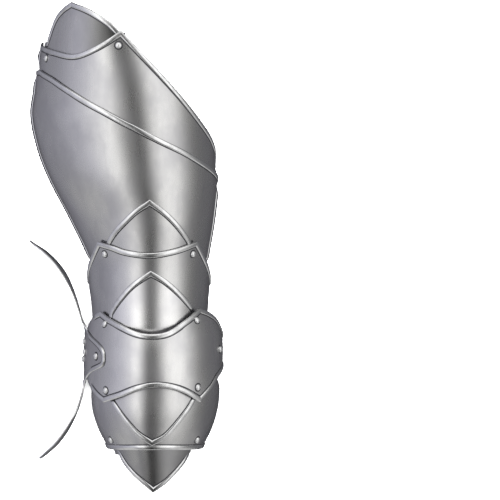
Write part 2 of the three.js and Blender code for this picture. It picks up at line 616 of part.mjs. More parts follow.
// The origin is the middle of the box that the assembly lies in, on the floor.
const extent = new THREE.Box3().setFromObject(assembly);
const origin = extent.getCenter(new THREE.Vector3()).setZ(extent.min.z);
assembly.position.sub(origin);

export default assembly;
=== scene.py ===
"""Fine plates, rivets, finishes, light and camera for a steel defence of the right thigh and knee.

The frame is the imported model's, in metres: +Y runs up the leg to the hip, +X to the inside of the leg and
+Z out of the front of the plates, which lie on their rear edges on the floor, z = 0. The tables below are
in millimetres, as in the model's source, measured from the middle of the knee.
"""
import json
import math
from typing import NamedTuple

import bpy
import numpy as np
from bpy.props import FloatProperty, FloatVectorProperty, PointerProperty
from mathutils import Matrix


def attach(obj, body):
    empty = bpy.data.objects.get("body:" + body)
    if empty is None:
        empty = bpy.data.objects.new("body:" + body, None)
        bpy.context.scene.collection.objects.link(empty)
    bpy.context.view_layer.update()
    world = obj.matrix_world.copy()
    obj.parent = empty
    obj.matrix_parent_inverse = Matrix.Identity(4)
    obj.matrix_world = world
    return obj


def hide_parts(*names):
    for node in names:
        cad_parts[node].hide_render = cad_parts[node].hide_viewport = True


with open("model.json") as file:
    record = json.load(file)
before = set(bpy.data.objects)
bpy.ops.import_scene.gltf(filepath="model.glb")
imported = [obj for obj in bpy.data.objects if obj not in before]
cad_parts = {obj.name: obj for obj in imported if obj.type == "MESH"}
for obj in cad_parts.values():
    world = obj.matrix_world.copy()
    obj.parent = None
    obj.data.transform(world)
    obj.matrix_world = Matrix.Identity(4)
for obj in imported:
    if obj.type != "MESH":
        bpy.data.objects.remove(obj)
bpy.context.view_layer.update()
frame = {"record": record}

bl_info = {
    "name": "Thigh and knee defence",
    "version": (1, 0, 0),
    "blender": (4, 5, 0),
    "location": "3D View > Sidebar > Defence",
    "description": "Builds the plates, rivets and stage of a steel defence for the thigh and knee",
    "category": "Object",
}

MM = 0.001
ORIGIN = np.array([-26.318, 114.5, 0.0])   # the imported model's origin in the tables' millimetres
BODIES = {node: body for body, nodes in frame["record"]["behaviour"]["bodies"].items() for node in nodes}


class Section(NamedTuple):
    """Half an ellipse across the leg: its middle, its half-widths and its height to the front."""
    along: float
    middle: float
    outer: float
    inner: float
    front: float


class Spot(NamedTuple):
    """A point of an edge as the front shows it."""
    across: float
    along: float
    corner: bool = False


class Turn(NamedTuple):
    """A point of an edge by how far round the leg it is, in degrees."""
    turn: float
    along: float
    corner: bool = False


class Line(NamedTuple):
    """A line across a lobe of the fan: where it stands, and its rear and front edges in z."""
    across: float
    along: float
    rear: float
    front: float


THIGH_FORM = [
    Section(384, -47, 69, 88, 108), Section(332, -34, 90, 92, 114), Section(288, -24, 104, 94, 116),
    Section(261, -20, 111, 92.5, 116), Section(222, -15.5, 107.5, 88.5, 112),
    Section(189, -11.8, 98.2, 85.3, 108), Section(145, -3, 84, 72, 99), Section(99, -2.2, 63.7, 63.7, 89),
    Section(68, -2, 60.8, 60.8, 85), Section(41, -1.6, 58.5, 58.5, 84), Section(8, -1, 57.5, 57.5, 84),
]
KNEE_FORM = [
    Section(50, -0.8, 65.2, 70.3, 91), Section(33, -1.4, 67.1, 75.4, 94), Section(20, -2, 68, 79, 97.5),
    Section(0, -2, 69, 80, 101), Section(-20, -2, 69, 79.5, 100), Section(-40, -2, 69.5, 80.5, 96.5),
    Section(-60, -2, 69, 79.5, 93),
]
SHIN_FORM = [
    Section(-10, 0, 60.5, 71, 84), Section(-30, -0.8, 62.7, 73.8, 86), Section(-44, -1.5, 63.5, 75.8, 87),
    Section(-64, -2.2, 61.8, 74.2, 85), Section(-86, -2.2, 55, 67.4, 79), Section(-104, -1.2, 47, 57.4, 73),
    Section(-130, 1, 42, 46, 62), Section(-160, 1.5, 35.5, 36.5, 48),
]

TOP_LAME_PEAK = [
    Spot(-114, 341), Spot(-105.6, 365), Spot(-98, 376), Spot(-87, 384, True), Spot(-67, 375.7),
    Spot(-45, 362), Spot(-32, 350),
]
THIGH_UPPER_EDGE = [
    Spot(-124, 341), Spot(-105.6, 331), Spot(-83.6, 326.7), Spot(-61.6, 334.4), Spot(-31.9, 352, True),
    Spot(-1, 319), Spot(31.9, 282.7), Spot(53.9, 255), Spot(68.2, 231), Spot(74, 206),
]
THIGH_MAIN_EDGE = [
    Spot(-122, 310), Spot(-105.6, 299.2), Spot(-56, 268.4), Spot(-23, 250.8), Spot(9.9, 234.3),
    Spot(37.4, 221), Spot(57.2, 209), Spot(76, 188),
]
THIGH_LEAF_PEAK = [
    Spot(-49, 113), Spot(-47.3, 123), Spot(-28.6, 146.3), Spot(-17.6, 156.2), Spot(-1, 167, True),
    Spot(17.6, 154), Spot(37.4, 132), Spot(43.5, 122), Spot(46, 113),
]
KNEE_UPPER_EDGE = [
    Spot(-70, 80), Spot(-62.7, 112), Spot(-58.3, 121, True), Spot(-42.9, 116.6), Spot(-28.6, 111.7),
    Spot(-1, 108.4), Spot(26.4, 112.8), Spot(50.6, 121.6, True), Spot(59.4, 103.4), Spot(66, 78),
]
KNEE_LEAF_PEAK = [
    Spot(-46.5, 36), Spot(-45, 44), Spot(-28.6, 67.7), Spot(-17.6, 78), Spot(0, 89, True),
    Spot(17.6, 79.2), Spot(40.7, 56.7), Spot(48, 45), Spot(49, 37),
]
COP_TOP_EDGE = [
    Spot(-72, 24), Spot(-61.6, 40.7), Spot(-55, 44.5, True), Spot(-34, 30.8), Spot(-9.9, 20.9),
    Spot(15.4, 21.5), Spot(37.4, 34.7), Spot(52.8, 48.4, True), Spot(64.9, 42.9), Spot(72.6, 35.2),
    Spot(79, 20),
]
COP_BOTTOM_EDGE = [
    Spot(-72.5, -20), Spot(-69.3, -34), Spot(-59.4, -48.4), Spot(-51.7, -55, True), Spot(-34, -49),
    Spot(-12, -40.7), Spot(9.9, -38), Spot(31.9, -42.4), Spot(53.9, -54.5, True), Spot(67, -39.6),
    Spot(73, -28.6), Spot(79, -16),
]
SHIN_LEAF_POINT = [
    Spot(-47, -46), Spot(-43.5, -55), Spot(-26.4, -79.2), Spot(-15.4, -91.3), Spot(1.6, -102.5, True),
    Spot(18.7, -92.4), Spot(40.7, -66), Spot(48, -54), Spot(52, -45),
]
SHIN_BOTTOM_EDGE = [Spot(-54, -105.5), Spot(-44, -107), Spot(4, -107), Spot(52, -107), Spot(62, -105.5)]
POINT_LAME_TIP = [
    Spot(-39, -101), Spot(-36.5, -111), Spot(-23, -132), Spot(2.2, -155, True), Spot(20.9, -140.8),
    Spot(43, -113), Spot(46.5, -101),
]

TOP_LAME_BASE = [Turn(-74, 314), Turn(7, 328)]
THIGH_MAIN_BASE = [Turn(-90, 72), Turn(-52, 95), Turn(0, 92), Turn(52, 95), Turn(90, 66)]
THIGH_LEAF_BASE = [Turn(-48, 98), Turn(0, 93), Turn(48, 98)]
KNEE_UPPER_BASE = [Turn(-90, 19), Turn(-50, 20), Turn(0, 8), Turn(50, 23), Turn(90, 16)]
KNEE_LEAF_BASE = [Turn(-53, 21), Turn(0, 9), Turn(53, 24)]
SHIN_LEAF_HEAD = [Turn(-50, -30), Turn(0, -22), Turn(50, -28)]
SHIN_MAIN_HEAD = [Turn(-90, -16), Turn(-50, -29), Turn(0, -21), Turn(50, -27), Turn(90, -12)]
POINT_LAME_HEAD = [Turn(-64, -86), Turn(0, -84), Turn(64, -86)]
HIDDEN_OVERLAP = 17          # how far the upper thigh plate runs on under the main one

HINGE_RIVETS = {
    "top": {"outer": Spot(-115, 323), "inner": Spot(-35, 336)},
    "thigh": {"outer": Spot(-50.6, 107.8), "inner": Spot(46.2, 107.8)},
    "knee": {"outer": Spot(-50.6, 31), "inner": Spot(50.6, 35)},
    "shin": {"outer": Spot(-49.5, -42), "inner": Spot(51.7, -38.5)},
    "point": {"outer": Spot(-44, -96.8), "inner": Spot(50.6, -96.8)},
}
FAN_UPPER_LOBE = [
    Line(-75.8, 29, 0, 22), Line(-77.6, 40, 0, 34), Line(-81.2, 56, 1, 52), Line(-87.4, 70, 4, 61),
    Line(-95.4, 84, 8, 64), Line(-105.8, 98, 13, 62), Line(-117.8, 110, 19, 56), Line(-128.6, 118.5, 26, 48),
    Line(-133.4, 122.8, 32, 42),
]
FAN_LOWER_LOBE = [
    Line(-72.7, -28, 0, 20), Line(-73.9, -41, 0, 32), Line(-77.3, -55, 1, 48), Line(-83.1, -68, 4, 57),
    Line(-90.1, -80, 8, 59), Line(-98.4, -92, 13, 57), Line(-107.3, -103, 18, 51),
    Line(-116.7, -111.5, 24, 44), Line(-123, -117.3, 30, 38),
]
FAN_TAB = [
    Turn(-77, 27), Turn(-64, 18), Turn(-52, 11), Turn(-45, 4), Turn(-42.5, -4), Turn(-44, -14),
    Turn(-51, -18.5), Turn(-66, -22.5), Turn(-77, -26),
]
FAN_RIVETS = {
    "fan_rivet_upper": Turn(-82, 11), "fan_rivet_middle": Turn(-77, 0), "fan_rivet_lower": Turn(-84, -8),
    "fan_tab_rivet": Turn(-53, -4.5),
}
STRAP_RIVET = Turn(73, 3)
PIN_TURNS = {"hidden_pin_1": -62, "hidden_pin_2": -8, "hidden_pin_3": 55}
PIN_DROP = 8                 # from the main thigh plate's edge down to its pins
PIN_HEAD = 4.0               # radius
PIN_SHANK = 2.5
PIN_BITE = 0.4               # how far a pin goes into the main thigh plate


def length(name, description, default, least=0.0):
    """A length among the settings, given in millimetres."""
    return FloatProperty(
        name=name, description=description, default=default * MM, min=least * MM, unit="LENGTH")


def colour(name, description, default):
    return FloatVectorProperty(
        name=name, description=description, default=default, subtype="COLOR", min=0, max=1)


class SheetSizes(bpy.types.PropertyGroup):
    """Sizes of the sheet steel and of its raised edges."""
    wall: length("Sheet", "Thickness of the sheet steel", 1.2, least=0.5)
    nest: length("Air", "Air between one plate and the next", 0.8)
    rim_width: length("Rim width", "Width of the raised edge", 5.4)
    rim_rise: length("Rim height", "Height of the raised edge", 1.25)
    rear_rise: length("Rear roll", "How far the rear edges are rolled out", 3.4)
    fan_rim_rise: length("Fan rim", "Height of the raised edge of the fan", 1.0)


class RivetSizes(bpy.types.PropertyGroup):
    """Sizes of the rivets."""
    head: length("Head radius", "Radius of a rivet's head", 3.8)
    rise: length("Head height", "Height of a rivet's head", 2.5)
    shank: length("Shank radius", "Radius of a rivet's shank", 2)
    tail: length("Tail radius", "Radius of the hammered end", 3)


class SteelFinish(bpy.types.PropertyGroup):
    """Colours and gloss of the steel."""
    plate: colour("Satin steel", "Colour of the plates' fronts", (0.65, 0.645, 0.635))
    cloud: colour("Clouding", "Colour of the faint clouds in the polish", (0.50, 0.495, 0.51))
    rim: colour("Polished rim", "Colour of the raised edges", (0.78, 0.78, 0.78))
    inside: colour("Inner faces", "Colour of the unpolished inner faces", (0.30, 0.30, 0.32))
    rivet: colour("Rivets", "Colour of the rivets", (0.7, 0.7, 0.7))
    satin: FloatProperty(
        name="Satin", description="Roughness of the plates", default=0.26, min=0, max=1, subtype="FACTOR")


class StageLook(bpy.types.PropertyGroup):
    """Floor, light and camera."""
    floor: colour("Floor", "Colour of the floor", (0.93, 0.93, 0.93))
    around: colour(
        "Shade", "Tint of the darker parts of the room that the steel reflects", (0.87, 0.87, 1.0))
    light: FloatProperty(
        name="Panels", description="Strength of the long soft panels", default=1.85, min=0)
    head: FloatProperty(
        name="Hip panel", description="Brightness of the panel beyond the hip", default=0.75, min=0)
    foot: FloatProperty(
        name="Shin panel", description="Brightness of the low panel beyond the shin", default=0.34, min=0)
    fill: FloatProperty(
        name="Fill", description="Power of the fill over the floor", default=420, min=0, unit="POWER")
    distance: FloatProperty(
        name="Camera height", description="Height of the camera over the floor", default=12,
        unit="LENGTH")


def setting_names(settings):
    """The names of a group's own settings."""
    return [name for name in settings.bl_rna.properties.keys() if name not in ("rna_type", "name")]


def curve(rows, key, value, at):
    """A smooth curve through rows of values, broken at a row that is marked as a corner."""
    order = 1 if getattr(rows[-1], key) > getattr(rows[0], key) else -1
    rows = rows[::order]
    keys = np.array([getattr(row, key) for row in rows], float)
    values = np.array([getattr(row, value) for row in rows], float)
    corner = np.array([getattr(row, "corner", False) for row in rows])
    corner[[0, -1]] = True
    span = np.diff(keys)
    own = np.diff(values) / span
    middle = np.zeros(len(rows))
    middle[1:-1] = (values[2:] - values[:-2]) / (keys[2:] - keys[:-2])
    start = np.where(corner[:-1], own, middle[:-1])
    end = np.where(corner[1:], own, middle[1:])
    spot = np.clip(at, keys[0], keys[-1])
    i = np.clip(np.searchsorted(keys, spot, side="right") - 1, 0, len(span) - 1)
    s = (spot - keys[i]) / span[i]
    return (
        values[i] * (1 + 2 * s) * (1 - s) ** 2 + start[i] * span[i] * s * (1 - s) ** 2
        + values[i + 1] * s ** 2 * (3 - 2 * s) - end[i] * span[i] * s ** 2 * (1 - s)
    )


def section_at(form, along, out):
    """Middle, outer and inner half-width and height of a form, grown outwards."""
    middle, outer, inner, front = (curve(form, "along", value, along) for value in Section._fields[1:])
    return middle, outer + out, inner + out, front + out


def point_on(form, turn, along, out):
    """The point of a form, grown outwards, at a turn round the leg and a distance along it."""
    turn, along, out = np.broadcast_arrays(np.asarray(turn, float), along, out)
    middle, outer, inner, front = section_at(form, along, out)
    half = np.where(turn < 0, outer, inner)
    angle = np.radians(turn)
    height = front * np.cos(np.clip(angle, -math.pi / 2, math.pi / 2))
    return np.stack([middle + half * np.sin(angle), along, height], axis=-1)


def unit(vectors):
    return vectors / np.linalg.norm(vectors, axis=-1, keepdims=True)


def normal_of(surface, turn, along, step):
    """The outward normal of a surface that gives a point for a turn and a distance along the leg."""
    around = surface(turn + step, along) - surface(turn - step, along)
    up = surface(turn, along + step) - surface(turn, along - step)
    return unit(np.cross(around, up))


def normal_on(form, turn, along, out):
    return normal_of(lambda turn, along: point_on(form, turn, along, out), turn, along, FORM_STEP)


def turn_at(form, across, along, out):
    """How far round the leg a point seen from the front lies, in degrees."""
    middle, outer, inner, _ = section_at(form, along, out)
    offset = across - middle
    half = np.where(offset < 0, outer, inner)
    return np.degrees(np.arcsin(np.clip(offset / half, -1, 1)))


def depth_to(form, out, point, normal):
    """Distance from a point inwards, against the normal, to a surface of a form."""
    near, far = DEPTH_RANGE
    for _ in range(DEPTH_ROUNDS):
        depth = (near + far) / 2
        spot = point - normal * depth
        middle, outer, inner, front = section_at(form, spot[1], out)
        half = outer if spot[0] < middle else inner
        if ((spot[0] - middle) / half) ** 2 + (spot[2] / front) ** 2 > 1:
            near = depth
        else:
            far = depth
    return (near + far) / 2


class Edge:
    """An edge of a plate, as how far along the leg it lies at each turn round it."""

    def __init__(self, rows):
        self.rows = rows
        self.corners = [row.turn for row in rows if row.corner]

    def __call__(self, turn):
        return curve(self.rows, "turn", "along", turn)


def edge_of(rows, form, out):
    """An edge from rows of turns, or from spots of the plate's outer face as the front shows them."""
    if isinstance(rows[0], Spot):
        rows = [Turn(float(turn_at(form, s.across, s.along, out)), s.along, s.corner) for s in rows]
    return Edge(rows)


class Sizes:
    """The sizes that the plates are built with, in millimetres, and the hinges between them."""

    tuck = 0.28                  # inward slope of a hidden flange
    tuck_start = 3.2             # where it starts beyond the hinge's line
    flare = 1.8                  # how far the lame above the knee spreads at its outer shoulder
    flare_turns = (55, 75)       # how far round to the outer side that starts and is full
    flare_along = (55, 95)       # and how far up the leg
    rear_draw = (1.7, 3.0)       # how far a sheet draws in beside a rolled rear edge, on each side
    draw_turns = (76, 90)        # how far round that starts and is full
    tail_gap = 2.6               # from the innermost plate to the end of a rivet that plates turn on
    fixed_tail_gap = 0.9         # and to that of a rivet that holds plates fast
    tail_thickness = 0.8
    fan_lift = 0.7               # how much further out than the next level the fan lies
    fan_lean = 3.6               # how much further in the rear of a lobe of the fan stands, near its tip
    tab_roll = 1.4               # how far the edge of the fan's tab turns down to the knee cop

    def __init__(self, scene):
        for group in (scene.defence_sheet, scene.defence_rivets):
            for name in setting_names(group):
                setattr(self, name, getattr(group, name) / MM)
        self.level = self.wall + self.nest
        self.fan_out = self.level + self.wall + self.fan_lift
        stacks = {
            "top": ((THIGH_FORM, -1), (THIGH_FORM, -2, self.wall), (THIGH_FORM, -2)),
            "thigh": ((THIGH_FORM, 2), (THIGH_FORM, 1, self.wall / 2), (THIGH_FORM, 0)),
            "knee": ((KNEE_FORM, 0), (THIGH_FORM, 3, self.wall / 2), (THIGH_FORM, 2)),
            "shin": ((KNEE_FORM, 0), (SHIN_FORM, 1, self.wall / 2), (SHIN_FORM, 0)),
            "point": ((SHIN_FORM, 0), (SHIN_FORM, -1, self.wall), (SHIN_FORM, -1)),
        }
        self.hinges = {
            (name, side): self.hinge(spot, *stacks[name])
            for name, sides in HINGE_RIVETS.items() for side, spot in sides.items()
        }

    def hinge(self, spot, skin, pivot, base):
        """Point and normal of a hinge rivet, the depth of its stack, and the point it turns on.

        skin, pivot and base are the form and level of the outermost plate, of the point that it turns
        on, with its height in that plate, and of the innermost plate.
        """
        out = skin[1] * self.level + self.wall
        turn = turn_at(skin[0], spot.across, spot.along, out)
        point = point_on(skin[0], turn, spot.along, out)
        normal = normal_on(skin[0], turn, spot.along, out)
        pivot_depth = depth_to(pivot[0], pivot[1] * self.level + pivot[2], point, normal)
        depth = depth_to(base[0], base[1] * self.level, point, normal)
        return point, normal, depth, point - normal * pivot_depth


class Plate(NamedTuple):
    """How a plate lies on its form, and which of its edges are raised, between which turns."""
    body: str                    # thigh_leaf_lame and knee_leaf_lame ride one joint past their nodes' own
    form: list
    level: float
    turns: tuple
    top: Edge
    bottom: Edge
    top_rim: tuple = None
    bottom_rim: tuple = None
    rear_rims: tuple = ()        # the rolled rear edges: turn, and start and end along the leg
    hinge: str = None            # its sheet is a hidden flange beyond this hinge
    side: int = -1               # -1 where that is towards the shin, 1 where it is towards the hip
    slope: float = Sizes.tuck    # how steeply the flange goes in
    early: float = 0             # how much sooner it starts at the front of the leg
    sink: float = 0              # how much further in than its level the plate lies
    flared: bool = False
    front: str = "satin_steel"
    roll: float = 0              # how far its raised edges are turned down
    roll_turns: tuple = (0, 0)


class Profile(NamedTuple):
    """A raised edge across, as rows of distance from the sheet's edge and height, both as shares."""
    rows: list
    cut_and_shade_rows: int                # of those, the first ones, which take the dark finish: the cut edge, and painted shade


RIM = Profile([
    (0.05, -0.99), (-0.04, -0.93), (-0.075, -0.5), (-0.065, 0.0), (-0.03, 0.45), (0.04, 0.78),
    (0.13, 0.95), (0.28, 1.03), (0.5, 1.05), (0.7, 0.99), (0.84, 0.78), (0.94, 0.38), (1.0, -0.12),
], 2)
REAR_ROLL = Profile([            # its outer part dark, painted shade along the rolled edge; only the part towards the plate bright
    (0.06, -0.4), (-0.04, -0.35), (-0.075, -0.2), (-0.065, 0.0), (-0.03, 0.45), (0.04, 0.78),
    (0.13, 0.95), (0.28, 1.03), (0.5, 1.0), (0.7, 0.82), (0.84, 0.56), (0.94, 0.28), (1.0, -0.12),
], 10)
RIM_FADE = 5                 # degrees over which a rim runs out under its neighbour
REAR_FADE = 14               # distance over which the roll of a rear edge runs out
REAR_HEIGHT = 0.35           # of a rear roll's path over the floor
BESIDE = 3                   # how far into the plate a point beside its edge lies
MITRE_LIMIT = 0.5            # how sharply a raised edge may turn before its corner is cut short
CREASE_SHADE_WIDTH = 1.0             # the painted shade line in the crease where the raised edge meets the plate
CREASE_SHADE_START = (0.9, 0.35)     # shares of the raised edge's width and height where the line starts
CREASE_SHADE_SINK = 0.04             # how far under the plate's face it ends
COLUMN_STEP = 1.5            # degrees between columns of a plate's mesh
CORNER_GAP = 0.45            # share of that step kept free beside a corner's own column
ROW_STEP = 3.0
FEWEST_ROWS = 4
FORM_STEP = 0.5              # degrees or distance to each side that a normal is measured over
SHEET_STEP = 0.4             # the same on a finished sheet
DEPTH_RANGE = (-5.0, 15.0)   # where a surface is looked for under a point
DEPTH_ROUNDS = 40
WELD_REACH = 0.01
SHARP_ANGLE = 38             # degrees from which a fold of a mesh is shaded as an edge
OUTER, RIM_FACE, INNER, CUT_EDGE_AND_SHADE = range(4)      # the finishes of a plate, by number


def smooth_step(value, low, high):
    """0 up to low, 1 from high, and a smooth rise between."""
    s = np.clip((value - low) / (high - low), 0, 1)
    return s * s * (3 - 2 * s)


class Skin:
    """The inner and outer faces of a plate, as points over turns and distances along the leg."""

    def __init__(self, plate, sizes):
        self.plate = plate
        self.sizes = sizes
        self.out = plate.level * sizes.level - plate.sink

    def lean(self, turn, along):
        """How far the sheet stands off its form: its flare less its rear draw and its flange's tuck."""
        plate, sizes = self.plate, self.sizes
        lean = np.zeros(np.broadcast(turn, along).shape)
        if plate.flared:
            spread = smooth_step(-turn, *sizes.flare_turns) * smooth_step(along, *sizes.flare_along)
            lean = lean + sizes.flare * spread
        if plate.rear_rims:
            draw = np.where(turn < 0, *sizes.rear_draw)
            lean = lean - draw * smooth_step(np.abs(turn), *sizes.draw_turns)
        if plate.hinge:
            outer = sizes.hinges[plate.hinge, "outer"][3]
            inner = sizes.hinges[plate.hinge, "inner"][3]
            across = point_on(plate.form, turn, along, self.out)[..., 0]
            share = np.clip((across - outer[0]) / (inner[0] - outer[0]), 0, 1)
            line = outer[1] + (inner[1] - outer[1]) * share
            start = sizes.tuck_start - plate.early * np.cos(np.radians(turn)) ** 2
            lean = lean - plate.slope * np.maximum(0, (along - line) * plate.side - start)
        return lean

    def at(self, turn, along, height):
        """A point of the sheet, at a height over its inner face."""
        return point_on(self.plate.form, turn, along, self.out + height + self.lean(turn, along))

    def normal(self, turn, along):
        return normal_of(lambda turn, along: self.at(turn, along, self.sizes.wall), turn, along, SHEET_STEP)


class Shape:
    """A mesh in the making: points in millimetres, faces, and which finish each face has."""

    def __init__(self):
        self.points = []
        self.faces = []
        self.finishes = []
        self.count = 0

    def add(self, points, faces, finish):
        points = np.asarray(points).reshape(-1, 3)
        self.points.append(points)
        self.faces.extend([tuple(int(i) + self.count for i in face) for face in faces])
        self.finishes.extend([finish] * len(faces))
        self.count += len(points)

    def grid(self, points, finish, outward=True):
        """A sheet of quads over a grid of points."""
        columns, rows = points.shape[:2]
        i, j = np.meshgrid(np.arange(columns - 1), np.arange(rows - 1), indexing="ij")
        corner = (i * rows + j).ravel()
        quads = np.stack([corner, corner + rows, corner + rows + 1, corner + 1], axis=-1)
        self.add(points, quads if outward else quads[:, ::-1], finish)

    def wall(self, points, finish):
        """A closed sheet with its outer and inner grids joined round the edge."""
        outer, inner = points
        self.grid(outer, finish[0])
        self.grid(inner, finish[1], outward=False)
        for side in (0, -1):
            strip = np.stack([outer[side], inner[side]])
            self.grid(strip, finish[0], outward=side == -1)
            strip = np.stack([outer[:, side], inner[:, side]])
            self.grid(strip, finish[0], outward=side == 0)

    def join(self, other, finish):
        """Takes in another shape, all in one finish."""
        self.add(np.concatenate(other.points), other.faces, finish)

    def made(self, name, finishes):
        """The Blender object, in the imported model's frame."""
        mesh = bpy.data.meshes.new(name)
        points = (np.concatenate(self.points) - ORIGIN) * MM
        mesh.from_pydata(points.tolist(), [], self.faces)
        mesh.polygons.foreach_set("material_index", self.finishes)
        for finish in finishes:
            mesh.materials.append(finish)
        mesh.polygons.foreach_set("use_smooth", [True] * len(mesh.polygons))
        made = bpy.data.objects.new(name, mesh)
        bpy.context.scene.collection.objects.link(made)
        weld = made.modifiers.new("Weld", "WELD")
        weld.merge_threshold = WELD_REACH * MM
        mesh.set_sharp_from_angle(angle=math.radians(SHARP_ANGLE))
        return made


def bead(shape, path, normals, inside, width, rise, under, strength, profile=RIM):
    """A raised edge along a path of points: inside is a point of the plate beside each of them."""
    ways = unit(np.diff(path, axis=0))
    before = np.concatenate([ways[:1], ways])
    after = np.concatenate([ways, ways[-1:]])
    across = [unit(np.cross(normals, way)) for way in (before, after)]
    middle = unit(across[0] + across[1])
    reach = 1 / np.clip(np.sum(middle * across[0], axis=-1, keepdims=True), MITRE_LIMIT, 1)
    side = np.sign(np.sum(middle * (inside - path), axis=-1, keepdims=True))
    inward = middle * reach * side
    rows = []
    for share, height in profile.rows:
        lift = height * (rise * strength if height > 0 else under)[:, None]
        rows.append(path + inward * share * width + normals * lift)
    points = np.stack(rows, axis=1)
    points[..., 2] = np.maximum(points[..., 2], 0)
    outward = side[len(side) // 2, 0] < 0
    # the first rows take the dark finish: the cut edge, and on a rolled rear edge painted shade
    shape.grid(points[:, :profile.cut_and_shade_rows + 1], CUT_EDGE_AND_SHADE, outward)
    shape.grid(points[:, profile.cut_and_shade_rows:], RIM_FACE, outward)
    # painted shade: a dark strip laid along the crease beside the raised edge
    near = path + inward * width * CREASE_SHADE_START[0] + normals * rise * strength[:, None] * CREASE_SHADE_START[1]
    far = path + inward * (width + CREASE_SHADE_WIDTH * strength[:, None]) - normals * CREASE_SHADE_SINK
    shape.grid(np.stack([near, far], axis=1), CUT_EDGE_AND_SHADE, outward)


def rim_strength(turns, limits):
    """1 between two turns, running out to 0 just beyond them."""
    return np.clip(np.minimum(turns - limits[0], limits[1] - turns) / RIM_FADE + 1, 0, 1)


def column_turns(plate):
    """The turns of the columns of a plate's mesh: even, but for one at each corner of its edges."""
    low, high = plate.turns
    corners = [turn for edge in (plate.top, plate.bottom) for turn in edge.corners]
    even = np.linspace(low, high, round((high - low) / COLUMN_STEP) + 1)
    kept = [t for t in even if all(abs(t - corner) > COLUMN_STEP * CORNER_GAP for corner in corners)]
    return np.array(sorted(kept + [t for t in corners if low < t < high]))


def plate_shape(plate, sizes):
    """The plate as a fine sheet with its raised edges."""
    skin = Skin(plate, sizes)
    turns = column_turns(plate)
    low, high = plate.bottom(turns), plate.top(turns)
    count = max(FEWEST_ROWS, round(float(np.max(high - low)) / ROW_STEP))
    along = low[:, None] + (high - low)[:, None] * np.linspace(0, 1, count + 1)
    turn = np.repeat(turns[:, None], count + 1, axis=1)
    shape = Shape()
    shape.wall([skin.at(turn, along, sizes.wall), skin.at(turn, along, 0)], (OUTER, INNER))
    for edge, limits, inwards in (
            (plate.top, plate.top_rim, -BESIDE), (plate.bottom, plate.bottom_rim, BESIDE)):
        if limits is None:
            continue
        strength = rim_strength(turns, limits)
        shown = strength > 0
        spots = turns[shown]
        path = skin.at(spots, edge(spots), sizes.wall)
        inside = skin.at(spots, edge(spots) + inwards, sizes.wall)
        under = sizes.wall + plate.roll * rim_strength(spots, plate.roll_turns)
        bead(shape, path, skin.normal(spots, edge(spots)), inside, sizes.rim_width, sizes.rim_rise,
             under, strength[shown])
    for turn, start, end in plate.rear_rims:
        rows = np.linspace(start, end, round(abs(end - start) / ROW_STEP) + 2)
        path = skin.at(turn, rows, sizes.wall)
        path[:, 2] = REAR_HEIGHT
        normals = np.tile([math.copysign(1.0, turn), 0, 0], (len(rows), 1))
        strength = np.clip(np.minimum(rows - start, end - rows) / REAR_FADE, 0.0, 1.0)
        under = np.full(len(rows), sizes.wall)
        bead(shape, path, normals, path + [0, 0, BESIDE], sizes.rim_width, sizes.rear_rise, under,
             strength, REAR_ROLL)
    return shape


TURNED_SIDES = 28
DOME_STEPS = 9
DOME_POWER = 0.9             # below 1, a head is fuller than half a ball
HEAD_SEAT = 0.05             # height of a head's underside over the plate
HEAD_BASE = 0.25             # and of the foot of its dome
RIVET_TAIL = [(0, -1), (0.6, -1), (0.9, -0.6), (1, -0.2), (0.97, 0)]    # shares of radius and thickness


def turned_shape(profile, point, normal):
    """A turned body along a normal: its profile is radius and height over the plate's outer face."""
    shape = Shape()
    aside = unit(np.cross(normal, [0.0, 1.0, 0.0]))
    other = np.cross(normal, aside)
    angles = np.linspace(0, 2 * math.pi, TURNED_SIDES + 1)
    circle = np.cos(angles)[:, None] * aside + np.sin(angles)[:, None] * other
    rings = [point + normal * height + radius * circle for radius, height in profile]
    shape.grid(np.stack(rings, axis=1), OUTER)
    return shape


def dome(radius, base, rise):
    """Radius and height up a domed head, from its rim to its crown."""
    angles = np.linspace(0, math.pi / 2, DOME_STEPS)
    return [(radius * math.cos(a), base + rise * math.sin(a) ** DOME_POWER) for a in angles]


def rivet_shape(sizes, point, normal, depth, tail_gap):
    """A rivet from its hammered tail to its domed head, with a dark ring round the head, a painted shadow.
    """
    under = depth + tail_gap
    tail = [(radius * sizes.tail, height * sizes.tail_thickness - under) for radius, height in RIVET_TAIL]
    head = sizes.head
    shape = turned_shape([
        *tail, (sizes.shank, -under), (sizes.shank, HEAD_SEAT), (head * 0.8, HEAD_SEAT),
        *dome(head * 0.92, HEAD_BASE, sizes.rise - HEAD_BASE),
    ], point, normal)
    # painted shadow: a dark ring laid on the plate round the head
    shadow_ring = [(head + 1.2, -0.04), (head + 0.3, 0.1), (head * 0.86, 0.3)]
    shape.join(turned_shape(shadow_ring, point, normal), 1)
    return shape


def dress(context, shape, name, body, finishes):
    """Makes the piece, lets it stand for its node of the model, and fixes it to its body."""
    made = shape.made(f"{name}_finished", [finished(context, finish) for finish in finishes])
    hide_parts(name)
    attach(made, body)
    return made


class Amount:
    """A number that changes over a surface: a socket whose maths reads as Python."""

    def __init__(self, recipe, socket):
        self.recipe = recipe
        self.socket = socket

    def _maths(self, operation, other):
        return self.recipe.node("ShaderNodeMath", {"operation": operation}, {0: self, 1: other})

    def __add__(self, other):
        return self._maths("ADD", other)

    def __mul__(self, other):
        return self._maths("MULTIPLY", other)

    __radd__ = __add__
    __rmul__ = __mul__


def set_stops(ramp, stops):
    """Places and colours of a ramp's stops."""
    ramp.interpolation = "B_SPLINE"
    while len(ramp.elements) < len(stops):
        ramp.elements.new(1.0)
    for element, (place, colour) in zip(ramp.elements, stops):
        element.position = place
        element.color = colour


